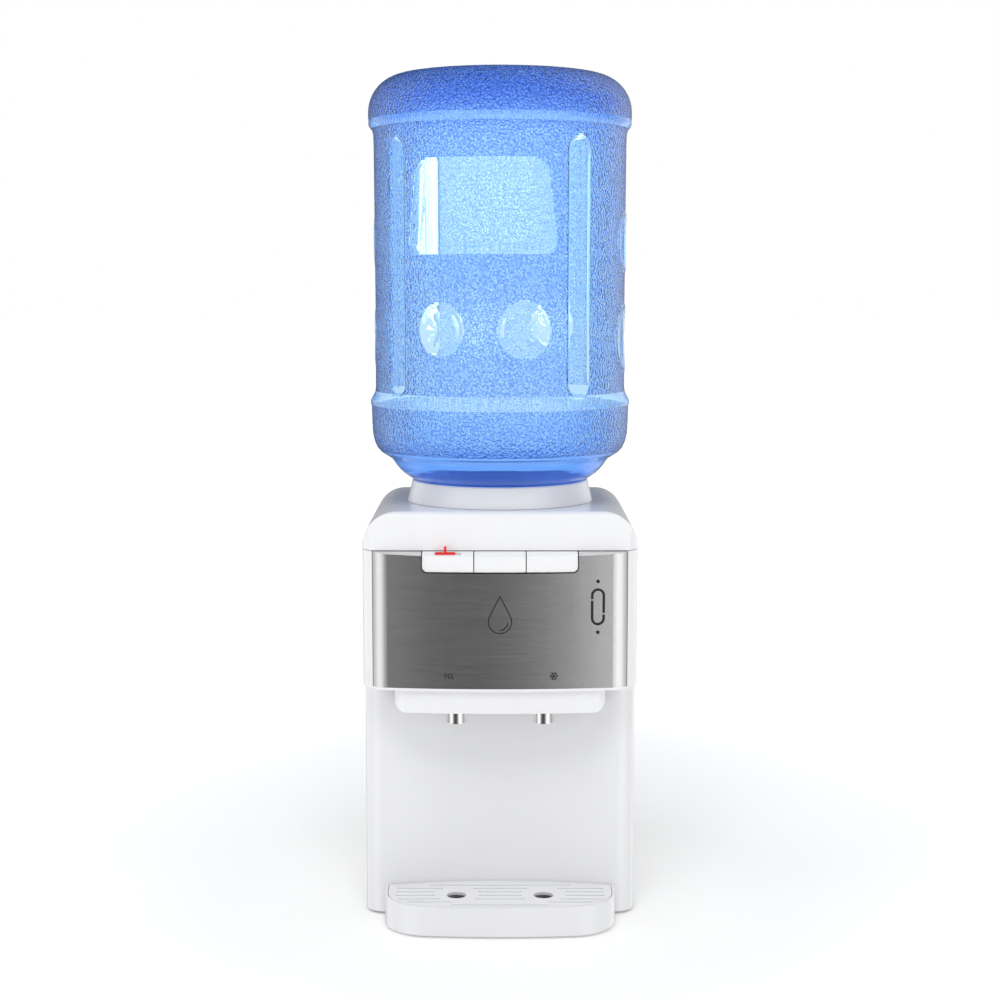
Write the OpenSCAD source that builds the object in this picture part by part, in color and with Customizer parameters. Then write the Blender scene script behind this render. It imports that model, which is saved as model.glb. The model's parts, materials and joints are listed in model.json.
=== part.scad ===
// Countertop water dispenser with an inverted bottle, three keys, two spouts and a drip tray.
// The origin is on the table, at the centre of the overall box. The front faces -Y.
// Inside the modules, Y is measured from the upright axis of the bottle.

/* [Housing] */
// Width across the sides
body_w = 276; // [264:2:340]
// From the bottle axis back to the rear panel
back_reach = 137; // [136:1:175]
// From the bottle axis forward to the middle of the fascia
fascia_reach = 130; // [126:1:150]
// From the bottle axis forward to the middle of the recessed wall
wall_reach = 72; // [66:1:80]
// Height of the flat top
top_z = 421; // [405:1:520]
// Height of the lower edge of the fascia
head_z = 246; // [240:1:260]
// Height of the top cover above its seam
cover_h = 38.5; // [34:0.5:46]
// Thickness of the moulded walls
wall_t = 2.5; // [2:0.1:3]
// Radius of the bowed front
bow_r = 805; // [600:5:1500]
// Radius of the head's upright front corners
corner_r = 30; // [26:1:34]
// Radius of the upright rear corners
rear_r = 24; // [16:1:28]
// Radius of the shoulders of the top cover
shoulder_r = 36; // [30:1:38]
// Radius of the hollow of the recessed wall
recess_r = 488; // [400:1:700]
// Radius of the lower body's upright front corners
column_r = 20; // [14:1:24]
// Open seam between moulded panels
seam_gap = 0.6; // [0.4:0.1:1.2]
// Height of the rubber feet
foot_h = 3; // [2.5:0.5:6]
// Thickness of the bottom chassis
base_t = 4; // [3:0.5:6]

/* [Fascia and keys] */
// Width of the steel fascia
fascia_w = 253; // [246:1:256]
// Thickness of the steel sheet
fascia_t = 1.2; // [0.8:0.1:1.6]
// Depth of the sloping ledge between fascia and top cover
ledge_d = 15; // [12:1:18]
// Fall of the ledge towards the front
ledge_drop = 4.5; // [3:0.5:6]
// Width of the row of three keys
key_row_w = 156; // [140:1:176]
// Height of the key fronts
key_h = 16; // [14:0.5:18]
// Gap beside each key
key_gap = 1; // [0.6:0.1:1.5]
// Wall of a key
key_t = 2; // [1.6:0.1:2.6]
// From the key fronts back to their pivot rod
key_arm = 52; // [46:1:56]
// Diameter of the pivot rod
rod_d = 4; // [3:0.5:5]

/* [Spouts and valves] */
// Distance of each spout from the middle
spout_x = 44; // [38:1:56]
// From the bottle axis forward to the spouts
spout_reach = 105; // [100:1:108]
// Outer diameter of a spout
spout_d = 22; // [18:1:26]
// Bore of a spout
spout_bore = 9; // [7:0.5:12]
// Height of the spout tips
spout_z = 207; // [200:1:214]
// Width of the nozzle cover
nozzle_w = 211; // [190:1:230]
// Height of the nozzle cover
nozzle_h = 23; // [20:1:30]
// Diameter of a valve body
valve_d = 26; // [22:1:32]

/* [Drip tray] */
// From the bottle axis forward to the tip of the tray
tray_reach = 160; // [150:1:185]
// Width of the tray
tray_w = 233; // [210:1:250]
// Height of the rim of the tray
tray_z = 32; // [26:1:40]
// Wall of the tray
tray_t = 2.4; // [1.8:0.2:3]
// Radius of the tray's front corners
tray_r = 46; // [30:1:60]
// Diameter of the two round openings in the grille
grille_hole_d = 20; // [14:1:26]

/* [Bottle] */
// Radius of the bottle at its widest bands
bottle_r = 135; // [128:1:140]
// Height of the bottle's closed end
bottle_top_z = 857; // [760:1:900]
// Wall of the bottle
bottle_t = 1.2; // [1:0.1:2]
// Outer radius of the bottle's neck
neck_r = 27; // [24:0.5:30]

/* [Tanks] */
// Size of the cold tank, across, deep and high
cold_size = [96, 80, 92];
// Thickness of the foam around the cold tank
foam_t = 16; // [12:1:20]
// Radius of the hot tank
hot_tank_r = 40; // [34:1:44]
// Height of the hot tank
hot_tank_h = 112; // [90:1:120]

/* [Hidden] */
$fn = 96;
white = [0.95, 0.95, 0.95];
grey = [0.55, 0.56, 0.58];
steel = [0.74, 0.74, 0.75];
dark = [0.15, 0.15, 0.16];
clear_blue = [0.35, 0.6, 0.95, 0.5];
eps = 0.01;
smooth = 360;                                   // steps round the wide arcs
far = 500;                                      // longer than any part
drain_out = 8;                                  // drain caps stand out of the rear panel
axis_y = (tray_reach - back_reach - drain_out) / 2;
screw_r = 1.5;
boss_h = 14;
boss_web = 11;
seam_z = top_z - cover_h;                       // under the top cover
cover_z = seam_z + seam_gap;
cover_front = fascia_reach - ledge_d;           // lower front edge of the top cover
ledge_z = seam_z - ledge_drop;                  // front edge of the ledge
chassis_z = foot_h + base_t;
side_seam = wall_reach - 12;                    // where the lower front panel ends on the side
lean = 5;                                       // the top cover's front leans back this much
crease_r = 7;                                   // round edge between the cover's front and top
vent_w = 3;
vent_h = 34;
vent_step = 7;
fan_size = 92;
fan_z = 290;                                    // height of the fan's spindle
inlet = [28, 22];                               // opening for the power inlet
inlet_at = [84, 52];                            // x and height of the power inlet
switch_size = [14, 20];                         // opening for one rocker switch
switch_x = [52, 30];                            // hot and cold rocker switches
switch_z = 52;
drain_x = [-88, -52];                           // hot and cold drains
drain_z = 34;
drain_r = 9;                                    // drain fitting's thread
rear_screw_at = [for (x = [-1, 1], z = [20, 200, 370]) [x * 104, z]];
hook_x = 80;                                    // tray hooks
hook = [22, 9, 2.5];
hook_z = 21;
hook_gap = 0.6;
foot_r = 9;
foot_sink = 1.5;
foot_at = [for (x = [-1, 1], y = [-46, 110]) [x * (body_w / 2 - 30), y]];
base_screw_at = [for (x = [-1, 1], y = [-20, 84]) [x * (body_w / 2 - 12), y]];
rear_panel_w = 2 * (body_w / 2 - rear_r);

// Housing
receiver_r = 96.5;                              // foot of the receiver's ring on the cover
receiver_top_r = 90.7;
receiver_h = 22;                                // the ring above the flat top
mouth_r = 84;                                   // round opening in the top cover

// Fascia
notch_z = ledge_z - key_h;                      // lower edge of the notch for the keys
notch_r = 6;
carrier_t = 2.5;
carrier_gap = 0.2;                              // between steel and carrier
key_drop = 9;                                   // free height under the key fronts
key_recess = fascia_t + 0.6;                    // key fronts stand behind the steel
pivot_y = key_arm + key_recess - fascia_reach;
pivot_z = ledge_z - 10;
bracket_x = key_row_w / 2 + 2;
bracket_t = 3;
key_w = (key_row_w - 4 * key_gap) / 3;
key_x = [for (i = [-1, 0, 1]) i * (key_w + key_gap)];
key_back = cover_front - 14;                    // the key's top runs on under the top cover
key_low = notch_z + key_gap;
key_under = 0.3;                                // key tops below the ledge
press_z = pivot_z - 2;                          // underside of the bar that presses the plunger
slot_w = 26;                                    // recess of the hot key for its lock
slot_d = 5;
slot_y = -cover_front - 5.5;                    // middle of that recess
slot_z = seam_z - 5.2;
lock_slide = 5;                                 // travel of the red lock
lock_w = slot_w - lock_slide - 1;
lock_x = key_x[0] - lock_slide / 2;
emblem_z = 319;
emblem_r = 12;
emblem_line = 0.9;
mark_t = 0.4;
drop_height = 2.2;                              // tip of the drop, in radii above its middle
ring_x = 97;
ring_z = 328;
ring_size = [14, 37];

// Valves and spouts
valve_x = [-spout_x, 0, spout_x];
valve_low = head_z + 50;
valve_top = press_z - 21;
stem_r = 3;
stem_deep = 12;                                 // how far the stem reaches into the valve
plunger_gap = 0.6;                              // below the key's bar
plunger_top = press_z - plunger_gap;
plunger_head = 5;
spring_r = 4.6;
spring_wire = 0.6;
tail_r = 7;                                     // the spout's tail above its tip
tip_h = 16;
pipe_r = 4;
pipe_bore = 2.6;
cross_z = valve_low - 14;                       // height of the room valve's cross pipe

// Water path above the tanks
probe_r = 7;
probe_hole = 1.2;                               // free space round the probe in the cap
neck_z = 367;                                   // open end of the bottle's neck
cap_t = 2;
cap_low = neck_z - cap_t - 0.2;
well_r = 33;                                    // inside of the receiver's tube
well_t = 2.5;
well_z = neck_z - 15;                           // outside of the receiver's floor
cup_gap = 1.5;
cup_t = 3;
cup_z = well_z - 12;
cup_h = 28;
seal_gap = 0.4;
foam_top = cup_z - 5;
tank_top = foam_top - foam_t;
tank_y = -5;                                    // middle of the cold tank
cone_top = [87.6, top_z + receiver_h];          // the bottle's shoulder at the receiver: radius, height
cone_low = [neck_r + 4, neck_z + 36];

// Bottle
flute_turn = 37;                                // angle of the first flute from the front
band_in = 5;                                    // the middle is narrower than the two bands
band_top_z = bottle_top_z - 50;
band_low_z = bottle_top_z - 336;
wide_low_z = bottle_top_z - 379;
end_r = 38;                                     // round edge of the closed end

// Tanks, cooler and electrics
block_size = 40;
block_d = 20;
chip_d = 4;
sink_base = 5;
sink_fins = 22;
sink_w = 100;
block_y = tank_y + cold_size[1] / 2 + 0.1;
chip_y = block_y + block_d + 0.1;
sink_y = chip_y + chip_d + 0.1;
fan_y = sink_y + sink_base + sink_fins + 2;
fan_d = 25;
fan_bore = fan_size - 6;
hub_r = 19;
hot_at = [-62, 20];
hot_low = 40;
band_t = 4;                                     // thickness of the heater band
aside = [0.37, 0.23, 0.9];                      // a direction that no pipe runs along
plug_r = 6;
rocker_tilt = 8;
rocker_y = back_reach - 4;

// Drip tray
tray_low = 2.5;
wall_gap = 0.8;                                 // between tray and recessed wall
grille_gap = 0.7;
grille_t = 3;
slot_r = 1;
hole_y = -120;                                  // the two round openings below the spouts
// Rows of slots: [y, list of [middle x, length]]
slot_rows = [
    [-89, [[0, 146]]],
    [-99, [[-82, 48], [0, 56], [82, 48]]],
    [-110, [[-86, 40], [0, 46], [86, 40]]],
    [-121, [[-86, 40], [0, 44], [86, 40]]],
    [-132, [[-82, 44], [0, 52], [82, 44]]],
    [-141, [[-71, 44], [71, 44]]],
    [-150, [[0, 98]]]
];

// ---------- shared outlines ----------

// Points along an arc, with both ends.
function arc(centre, r, from, to, steps) = [
    for (i = [0:steps]) let(a = from + (to - from) * i / steps) centre + r * [cos(a), sin(a)]
];

module at_axis() {
    translate([0, axis_y, 0]) children();
}

// A flat tube along Z.
module tube(r_out, r_in, h) {
    difference() {
        cylinder(r = r_out, h = h);
        translate([0, 0, -eps]) cylinder(r = r_in, h = h + 2 * eps);
    }
}

module rounded_rect(w, d, r) {
    square([w - 2 * r, d], center = true);
    square([w, d - 2 * r], center = true);
    for (x = [-1, 1], y = [-1, 1]) {
        translate([x * (w / 2 - r), y * (d / 2 - r)]) circle(r = r, $fn = 48);
    }
}

// Everything between y = low and y = high, seen from above.
module band(low, high) {
    translate([-far, low]) square([2 * far, high - low]);
}

// An outline with a bowed front, round front corners and round rear corners.
module bowed_outline(half_w, reach, front_r, back, back_r, inset = 0) {
    bow_y = bow_r - reach;
    corner_x = half_w - front_r;
    drop = sqrt(pow(bow_r - front_r, 2) - corner_x * corner_x);
    corner_y = bow_y - drop;
    translate([0, bow_y]) intersection() {
        circle(r = bow_r - inset, $fn = smooth);
        polygon([[0, 0], 2 * [-corner_x, -drop], 2 * [corner_x, -drop]]);
        translate([-half_w, -2 * bow_r]) square([2 * half_w, 2 * bow_r - bow_y]);
    }
    for (side = [-1, 1]) {
        translate([side * corner_x, corner_y]) circle(r = front_r - inset);
        translate([side * (half_w - back_r), back - back_r]) circle(r = back_r - inset);
    }
    translate([inset - half_w, corner_y]) square([2 * (half_w - inset), back - back_r - corner_y]);
    translate([back_r - half_w, corner_y]) square([2 * (half_w - back_r), back - inset - corner_y]);
}

// The head, seen from above.
module head_outline(inset = 0) {
    bowed_outline(body_w / 2, fascia_reach, corner_r, back_reach, rear_r, inset);
}

// The lower body, seen from above: its front is a shallow hollow between round corners.
module column_outline(inset = 0) {
    half_w = body_w / 2;
    corner_x = half_w - column_r;
    recess_y = -wall_reach - recess_r;
    corner_y = recess_y + sqrt(pow(recess_r + column_r, 2) - corner_x * corner_x);
    touch_x = corner_x * (recess_r + inset) / (recess_r + column_r);
    difference() {
        translate([-touch_x, corner_y - column_r]) square([2 * touch_x, column_r]);
        translate([0, recess_y]) circle(r = recess_r + inset, $fn = smooth);
    }
    for (side = [-1, 1]) {
        translate([side * corner_x, corner_y]) circle(r = column_r - inset);
        translate([side * (half_w - rear_r), back_reach - rear_r]) circle(r = rear_r - inset);
    }
    translate([inset - half_w, corner_y]) {
        square([2 * (half_w - inset), back_reach - rear_r - corner_y]);
    }
    translate([rear_r - half_w, corner_y]) {
        square([2 * (half_w - rear_r), back_reach - inset - corner_y]);
    }
}

// The top cover from the front: x against height.
module shoulder_profile(inset = 0) {
    half_w = body_w / 2;
    for (side = [-1, 1]) {
        translate([side * (half_w - shoulder_r), top_z - shoulder_r]) circle(r = shoulder_r - inset);
    }
    translate([inset - half_w, 0]) square([2 * (half_w - inset), top_z - shoulder_r]);
    translate([shoulder_r - half_w, 0]) square([2 * (half_w - shoulder_r), top_z - inset]);
}

// The top cover from the side: y against height. The front leans back and meets the top in a
// small round edge, and the rear edge is round.
module side_profile(inset = 0) {
    low = [-cover_front, seam_z];
    slope = sqrt(lean * lean + cover_h * cover_h);
    inward = [cover_h, -lean] / slope;
    centre_z = top_z - crease_r;
    centre_y = (crease_r * slope + lean * (centre_z - seam_z)) / cover_h - cover_front;
    centre = [centre_y, centre_z];
    foot = low + inset * inward - [lean, cover_h];
    turn = atan(lean / cover_h);
    polygon(concat(
        [foot],
        arc(centre, crease_r - inset, 180 - turn, 90, 6),
        arc([back_reach - rear_r, top_z - rear_r], rear_r - inset, 90, 0, 16),
        [[back_reach - inset, foot[1]]]
    ));
}

// A solid drawn in y against height, standing across the whole width.
module across(w = 2 * far) {
    translate([-w / 2, 0, 0]) rotate([90, 0, 90]) linear_extrude(w) children();
}

// A solid drawn in x against height, reaching from y = low to y = high.
module along(low, high) {
    translate([0, high, 0]) rotate([90, 0, 0]) linear_extrude(high - low) children();
}

// ---------- housing ----------

module base_plate() {
    color(grey) at_axis() translate([0, 0, foot_h]) difference() {
        linear_extrude(base_t) column_outline(wall_t + 0.3);
        for (x = [-60:12:60]) {
            translate([x, 60, -eps]) linear_extrude(base_t + 1) rounded_rect(4, 70, 1.9);
        }
        for (at = base_screw_at) {
            translate([at[0], at[1], -eps]) cylinder(d = 3.2, h = base_t + 1);
        }
        for (at = foot_at) {
            translate([at[0], at[1], -eps]) cylinder(r = foot_r + 0.05, h = foot_sink + eps);
        }
    }
}

module rubber_feet() {
    color(dark) at_axis() for (at = foot_at) {
        translate([at[0], at[1], 0]) {
            cylinder(r1 = foot_r - 1, r2 = foot_r, h = 1);
            translate([0, 0, 1]) cylinder(r = foot_r, h = foot_h + foot_sink - 1);
        }
    }
}

module lower_front_panel() {
    color(white) at_axis() translate([0, 0, foot_h]) difference() {
        linear_extrude(head_z - foot_h - wall_t - seam_gap) intersection() {
            difference() {
                column_outline();
                column_outline(wall_t);
            }
            band(-far, -side_seam);
        }
        for (side = [-1, 1]) {
            translate([side * hook_x - hook[0] / 2 - hook_gap, -far, hook_z - foot_h - hook_gap]) {
                cube([hook[0] + 2 * hook_gap, 2 * far, hook[2] + 2 * hook_gap]);
            }
        }
    }
}

// One side panel: the lower body's side, and above it the head's side with the strip that
// turns the corner to the fascia. Bosses inside take the screws of base and rear panel.
module side_panel(side) {
    color(white) at_axis() {
        translate([0, 0, foot_h]) linear_extrude(head_z - foot_h + eps) intersection() {
            difference() {
                column_outline();
                column_outline(wall_t);
            }
            band(seam_gap - side_seam, far);
            side_half(side, rear_panel_w / 2 + seam_gap);
        }
        translate([0, 0, head_z]) linear_extrude(seam_z - head_z) difference() {
            intersection() {
                head_outline();
                union() {
                    intersection() {
                        side_half(side, fascia_w / 2 + seam_gap);
                        band(-far, 0);
                    }
                    intersection() {
                        side_half(side, rear_panel_w / 2 + seam_gap);
                        band(-eps, far);
                    }
                }
            }
            head_outline(wall_t);
        }
        for (at = base_screw_at) {
            if (at[0] * side > 0) screw_boss([at[0], at[1], chassis_z + 0.2], side);
        }
        for (at = rear_screw_at) {
            if (at[0] * side > 0) rear_boss(at, side);
        }
    }
}

// An upright boss with a web to the side wall.
module screw_boss(at, side) {
    translate(at) difference() {
        union() {
            cylinder(r = 5, h = boss_h);
            translate([min(0, side * boss_web), -1.5, 0]) cube([boss_web, 3, boss_h]);
        }
        translate([0, 0, -eps]) cylinder(r = screw_r, h = boss_h - 3);
    }
}

// A block from the side wall to a screw of the rear panel.
module rear_boss(at, side) {
    reach = body_w / 2 - abs(at[0]) + 5;
    rear = back_reach - wall_t - 0.2;
    intersection() {
        translate([side * (abs(at[0]) - 5), rear - boss_h, at[1] - 5]) difference() {
            translate([min(0, side * reach), 0, 0]) cube([reach, boss_h, 10]);
            translate([side * 5, boss_h + eps, 5]) rotate([90, 0, 0]) cylinder(r = screw_r, h = boss_h - 3);
        }
        linear_extrude(far) head_outline(wall_t / 2);
    }
}

module side_half(side, from_x) {
    low = side > 0 ? from_x : -far;
    translate([low, -far]) square([far - from_x, 2 * far]);
}

module left_side_panel() side_panel(-1);
module right_side_panel() side_panel(1);

module rear_panel() {
    color(white) at_axis() difference() {
        translate([-rear_panel_w / 2, back_reach - wall_t, foot_h]) {
            cube([rear_panel_w, wall_t, seam_z - foot_h]);
        }
        along(0, far) {
            for (x = [-42:vent_step:42], row = [-1, 0, 1]) {
                translate([x, fan_z + row * (vent_h + 6)]) rounded_rect(vent_w, vent_h, 1.4);
            }
            for (x = [-84:vent_step:-14], row = [0, 1]) {
                translate([x, 100 + row * (vent_h + 6)]) rounded_rect(vent_w, vent_h, 1.4);
            }
            translate(inlet_at) rounded_rect(inlet[0], inlet[1], 2);
            for (x = switch_x) {
                translate([x, switch_z]) square(switch_size, center = true);
            }
            for (x = drain_x) {
                translate([x, drain_z]) circle(r = drain_r + 0.3);
            }
            for (at = rear_screw_at) {
                translate(at) circle(d = 3.2);
            }
        }
    }
}

module top_cover() {
    color(white) at_axis() difference() {
        intersection() {
            translate([0, 0, cover_z]) linear_extrude(cover_h + 1) cover_plan();
            along(-far, far) shoulder_profile();
            across() side_profile();
        }
        intersection() {
            translate([0, 0, cover_z - 1]) linear_extrude(cover_h + 1) cover_plan(wall_t);
            along(-far, far) shoulder_profile(wall_t);
            across() side_profile(wall_t);
        }
        cylinder(r = mouth_r, h = far);
    }
}

module cover_plan(inset = 0) {
    intersection() {
        head_outline(inset);
        band(-cover_front, far);
    }
}

module head_floor() {
    color(white) at_axis() difference() {
        translate([0, 0, head_z - wall_t]) linear_extrude(wall_t) difference() {
            intersection() {
                head_outline();
                band(-far, -side_seam);
            }
            column_outline(wall_t + 0.3);
        }
        for (side = [-1, 1]) {
            translate([side * spout_x, -spout_reach, 0]) cylinder(r = tail_r + 0.4, h = far);
        }
    }
}

// ---------- fascia ----------

// The ledge that falls from the top cover to the fascia's front edge: y against height.
module under_ledge(lower = 0) {
    polygon([
        [-far, 0],
        [-fascia_reach - 2 * ledge_d, 0],
        [-fascia_reach - 2 * ledge_d, ledge_z - 2 * ledge_drop - lower],
        [-cover_front, seam_z - lower],
        [far, seam_z - lower],
        [far, 0]
    ]);
}

module fascia_plan(inset = 0, narrow = 0) {
    intersection() {
        head_outline(inset);
        band(-far, -cover_front);
        square([fascia_w - 2 * narrow, 2 * far], center = true);
    }
}

// The notch for the key row, seen from the front.
module key_notch(grow = 0) {
    w = key_row_w + 2 * grow;
    translate([0, notch_z - grow + far / 2]) rounded_rect(w, far, notch_r + grow);
}

module front_fascia() {
    color(steel) at_axis() difference() {
        intersection() {
            translate([0, 0, head_z]) linear_extrude(cover_h + far) fascia_plan();
            across() under_ledge();
        }
        intersection() {
            translate([0, 0, head_z - 1]) linear_extrude(cover_h + far) {
                intersection() {
                    head_outline(fascia_t);
                    band(-far, 1 - cover_front);
                }
            }
            across() under_ledge(fascia_t);
        }
        along(-far, 0) key_notch();
    }
}

// The plastic carrier that backs the steel and holds the rod of the keys.
module fascia_carrier() {
    inset = fascia_t + carrier_gap;
    color(grey) at_axis() difference() {
        union() {
            translate([0, 0, head_z + 0.3]) linear_extrude(ledge_z - 3 - head_z) difference() {
                carrier_plan(inset);
                head_outline(inset + carrier_t);
            }
            for (side = [-1, 1]) {
                translate([side * (bracket_x + bracket_t / 2), 0, 0]) across(bracket_t) {
                    carrier_bracket();
                }
            }
        }
        translate([-bracket_x, -far, notch_z - key_drop]) cube([2 * bracket_x, 2 * far, far]);
        translate([-far, pivot_y, pivot_z]) rotate([0, 90, 0]) {
            cylinder(r = rod_d / 2 + 0.02, h = 2 * far, $fn = 48);
        }
    }
}

module carrier_plan(inset) {
    intersection() {
        head_outline(inset);
        band(-far, -cover_front);
        square([fascia_w - 2, 2 * far], center = true);
    }
}

// A bracket from the carrier back to the rod: y against height.
module carrier_bracket() {
    front = bow_y_at(bracket_x + bracket_t) + fascia_t + carrier_gap + carrier_t / 2;
    polygon([
        [front, pivot_z - 30],
        [pivot_y, pivot_z - 5],
        [pivot_y, pivot_z + 5],
        [front, pivot_z + 5]
    ]);
    translate([pivot_y, pivot_z]) circle(r = 5, $fn = 48);
}

module key_rod() {
    reach = bracket_x + bracket_t;
    color(steel) at_axis() translate([-reach, pivot_y, pivot_z]) rotate([0, 90, 0]) {
        cylinder(d = rod_d, h = 2 * reach, $fn = 48);
    }
}

// One press key: a bowed cap open below, with two arms back to the rod.
module key(i, lock_slot = false) {
    x = key_x[i];
    color(white) at_axis() difference() {
        union() {
            intersection() {
                union() {
                    difference() {
                        key_block(x, key_w, key_recess, key_under, key_low);
                        key_block(x, key_w - 2 * key_t, key_recess + key_t, key_under + key_t, 0, 4);
                    }
                    for (side = [-1, 1]) {
                        translate([x + side * (key_w / 2 - key_t), 0, 0]) across(2 * key_t) key_arm_side();
                    }
                }
                along(-far, far) translate([0, -2 * eps]) key_notch(eps - key_gap);
            }
            translate([x - key_w / 2 + key_t, -spout_reach - 3, press_z]) {
                cube([key_w - 2 * key_t, 6, seam_z - key_under - 1 - press_z]);
            }
            if (lock_slot) intersection() {
                translate([x - slot_w / 2 - 2, slot_y - slot_d / 2 - 1.5, slot_z - 2]) {
                    cube([slot_w + 4, slot_d + 3, 8]);
                }
                across() under_ledge(key_under + key_t / 2);
            }
        }
        translate([-far, pivot_y, pivot_z]) rotate([0, 90, 0]) {
            cylinder(r = rod_d / 2 + 0.05, h = 2 * far, $fn = 48);
        }
        if (lock_slot) {
            translate([x - slot_w / 2, slot_y - slot_d / 2, slot_z]) cube([slot_w, slot_d, far]);
        }
    }
}

// A block with the bowed front and the sloping top of the key row.
module key_block(x, w, inset, lower, low_z, behind = 0) {
    intersection() {
        translate([0, 0, low_z]) linear_extrude(far) intersection() {
            head_outline(inset);
            band(-far, behind - key_back);
            translate([x - w / 2, -far]) square([w, far]);
        }
        across() under_ledge(lower);
    }
}

// The side of an arm, from the key's cap back to the rod: y against height.
module key_arm_side() {
    front = -fascia_reach + key_recess + 7;
    polygon([
        [front, key_low],
        [front, ledge_z - 1.5],
        [-cover_front, seam_z - 1.5],
        [-key_back, seam_z - 1.5],
        [pivot_y, pivot_z + 5],
        [pivot_y, pivot_z - 5]
    ]);
    translate([pivot_y, pivot_z]) circle(r = 5, $fn = 48);
}

module hot_key() key(0, lock_slot = true);
module room_key() key(1);
module cold_key() key(2);

// The red lock of the hot key: a plate in the recess with an upright tab.
module hot_lock() {
    color([0.9, 0.1, 0.08]) at_axis() translate([lock_x, slot_y, slot_z + 0.3]) {
        translate([-lock_w / 2, 0.3 - slot_d / 2, 0]) cube([lock_w, slot_d - 0.6, 4.4]);
        translate([-1.2, 0.3 - slot_d / 2, 4]) cube([2.4, slot_d - 1.6, 6.5]);
    }
}

// The outline of a drop for the emblem drawn as a line: a round belly and straight flanks up to the tip.
function drop_points(r) = let(touch = asin(1 / drop_height), steps = 40) [
    [0, r * drop_height],
    each arc([0, 0], r, touch, -180 - touch, steps)
];

module drop_emblem() {
    color(dark) at_axis() translate([0, -fascia_reach, emblem_z - 5]) rotate([90, 0, 0]) {
        linear_extrude(mark_t) {
            difference() {
                polygon(drop_points(emblem_r));
                polygon(drop_points(emblem_r - emblem_line));
            }
            intersection() {
                translate([0, -1]) tube_2d(emblem_r - 4, emblem_r - 4 - emblem_line);
                translate([0, -far]) square([far, far - 1]);
            }
        }
    }
}

module tube_2d(r_out, r_in) {
    difference() {
        circle(r = r_out);
        circle(r = r_in);
    }
}

// Where the bowed face is at x.
function bow_y_at(x) = bow_r - fascia_reach - sqrt(bow_r * bow_r - x * x);

// A frame on the bowed face at x, with its Z axis pointing out of the face.
module on_bow(x, z) {
    turn = asin(x / bow_r);
    translate([x, bow_r - fascia_reach - bow_r * cos(turn), z]) rotate([0, 0, turn]) {
        rotate([90, 0, 0]) children();
    }
}

// Two bent light guides that form an oblong ring, and a dot above and below it.
module indicator_ring() {
    line = 2.4;
    color(dark) at_axis() on_bow(ring_x, ring_z) linear_extrude(mark_t) {
        difference() {
            rounded_rect(ring_size[0], ring_size[1], ring_size[0] / 2 - eps);
            rounded_rect(ring_size[0] - 2 * line, ring_size[1] - 2 * line, ring_size[0] / 2 - line - eps);
            for (side = [-1, 1]) {
                translate([side * ring_size[0] / 2, -side * 7]) square([8, 1.6], center = true);
            }
        }
        for (side = [-1, 1]) {
            translate([0, side * (ring_size[1] / 2 + 7)]) circle(r = 1.8);
        }
    }
}

module nozzle_plan(inset = 0) {
    intersection() {
        bowed_outline(nozzle_w / 2, fascia_reach - 4, 12, 0, 12, inset);
        band(-far, -wall_reach - 20 - inset);
    }
}

module nozzle_side(inset = 0) {
    translate([0, head_z - wall_t - 0.3 - nozzle_h + inset + far / 2]) {
        rounded_rect(nozzle_w - 2 * inset, far, 12 - inset);
    }
}

module nozzle_cover() {
    top = head_z - wall_t - 0.3;
    color(white) at_axis() difference() {
        intersection() {
            translate([0, 0, top - nozzle_h]) linear_extrude(nozzle_h) nozzle_plan();
            along(-far, 0) nozzle_side();
        }
        intersection() {
            translate([0, 0, top - nozzle_h]) linear_extrude(nozzle_h + 1) nozzle_plan(wall_t);
            along(-far, 0) nozzle_side(wall_t);
        }
        for (side = [-1, 1]) {
            translate([side * spout_x, -spout_reach, 0]) cylinder(d = spout_d + 0.6, h = far);
        }
    }
}

// ---------- valves and spouts ----------

module valve(i) {
    color(white) at_axis() translate([valve_x[i], -spout_reach, valve_low]) difference() {
        union() {
            cylinder(d = valve_d, h = valve_top - valve_low);
            translate([0, 0, 6]) cylinder(d = valve_d + 3, h = 4);
        }
        translate([0, 0, valve_top - valve_low - stem_deep - 6]) {
            cylinder(r = stem_r + 0.05, h = far, $fn = 48);
        }
        translate([0, 0, -eps]) cylinder(r = pipe_bore, h = 12);
    }
}

module plunger(i) {
    color(grey) at_axis() translate([valve_x[i], -spout_reach, valve_top - stem_deep]) {
        cylinder(r = stem_r, h = plunger_top - valve_top + stem_deep, $fn = 48);
        translate([0, 0, plunger_top - valve_top + stem_deep - plunger_head]) {
            cylinder(r = spring_r + 1.6, h = plunger_head);
        }
    }
}

// The points of one round of the wire, square to the radius, at angle a and height z.
function wire_ring(a, z, sides) = [
    for (k = [0:sides - 1]) let(b = 360 * k / sides, out = spring_r + spring_wire * cos(b))
        [out * cos(a), out * sin(a), z + spring_wire * sin(b)]
];

// A coil spring around Z from z = 0 up.
module coil_spring(height, turns = 5, steps = 14, sides = 6) {
    count = turns * steps;
    rise = (height - 2 * spring_wire) / count;
    points = [for (i = [0:count]) each wire_ring(360 * i / steps, spring_wire + i * rise, sides)];
    skin = [
        for (i = [0:count - 1], k = [0:sides - 1]) let(n = (k + 1) % sides)
            [i * sides + k, (i + 1) * sides + k, (i + 1) * sides + n, i * sides + n]
    ];
    polyhedron(points, concat(
        skin,
        [[for (k = [0:sides - 1]) k]],
        [[for (k = [sides - 1:-1:0]) count * sides + k]]
    ), convexity = 10);
}

module key_spring(i) {
    gap = 0.3;
    color(steel) at_axis() translate([valve_x[i], -spout_reach, valve_top + gap]) {
        coil_spring(plunger_top - plunger_head - valve_top - 2 * gap);
    }
}

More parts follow.
